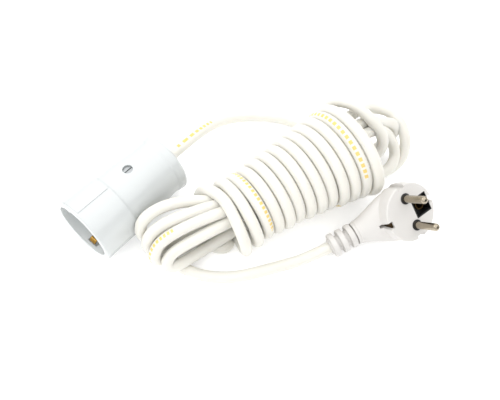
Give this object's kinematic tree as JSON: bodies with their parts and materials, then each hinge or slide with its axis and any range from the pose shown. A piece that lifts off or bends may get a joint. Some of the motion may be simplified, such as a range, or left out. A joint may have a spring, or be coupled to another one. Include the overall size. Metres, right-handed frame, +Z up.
{
  "type": "extension cord",
  "caption": "Cord extension with a round trailing socket, side earth clips, a cord wound into a wrapped hank and a moulded right-angle plug.",
  "frame": {"origin": "on the ground under the middle of the trailing socket", "axes": "+X along the socket's axis from its mouth to its cord, +Z up"},
  "size_m": [0.2064, 0.1896, 0.0589],
  "materials": {
    "white_urea": "glossy moulded",
    "grey_polyamide": "moulded",
    "contact_brass": "stamped",
    "zinc_steel": "zinc plated",
    "white_pvc": "satin extruded",
    "plug_pvc": "satin moulded",
    "black_insert": "moulded",
    "nickel_pin": "nickel plated",
    "core_brown": "extruded",
    "core_blue": "extruded",
    "core_green_yellow": "extruded"
  },
  "bodies": {
    "socket_and_cord": {"socket_front_shell": "white_urea", "socket_rear_cover": "white_urea", "contact_carrier": "grey_polyamide", "contact_live": "contact_brass", "contact_neutral": "contact_brass", "line_terminal_screws": "zinc_steel", "earth_bridge": "contact_brass", "earth_terminal_screw": "zinc_steel", "cover_screw": "zinc_steel", "cover_nut": "zinc_steel", "cord_clamp_bar": "grey_polyamide", "cord_clamp_screws": "zinc_steel", "cord_bush": "white_pvc", "socket_core_live": "core_brown", "socket_core_neutral": "core_blue", "socket_core_earth": "core_green_yellow", "plug_body": "plug_pvc", "plug_insert": "black_insert", "plug_pin_live": "nickel_pin", "plug_pin_neutral": "nickel_pin", "plug_earth_strap": "contact_brass", "plug_core_live": "core_brown", "plug_core_neutral": "core_blue", "plug_core_earth": "core_green_yellow", "hank_wraps": "white_pvc", "hank_left_loops": "white_pvc", "hank_right_loops": "white_pvc", "socket_lead": "white_pvc", "plug_lead": "white_pvc"},
    "upper_clip": {"earth_clip_upper": "contact_brass"},
    "lower_clip": {"earth_clip_lower": "contact_brass"}
  },
  "joints": [
    {"name": "upper_clip_flex", "type": "hinge", "parent": "socket_and_cord", "child": "upper_clip", "pos_m": [-0.0172, 0, 0.0413], "axis": [0, 1, 0], "range_deg": [0, 4], "stiffness_Nm_per_rad": 0.8},
    {"name": "lower_clip_flex", "type": "hinge", "parent": "socket_and_cord", "child": "lower_clip", "pos_m": [-0.0172, 0, 0.0059], "axis": [0, -1, 0], "range_deg": [0, 4], "stiffness_Nm_per_rad": 0.8}
  ]
}
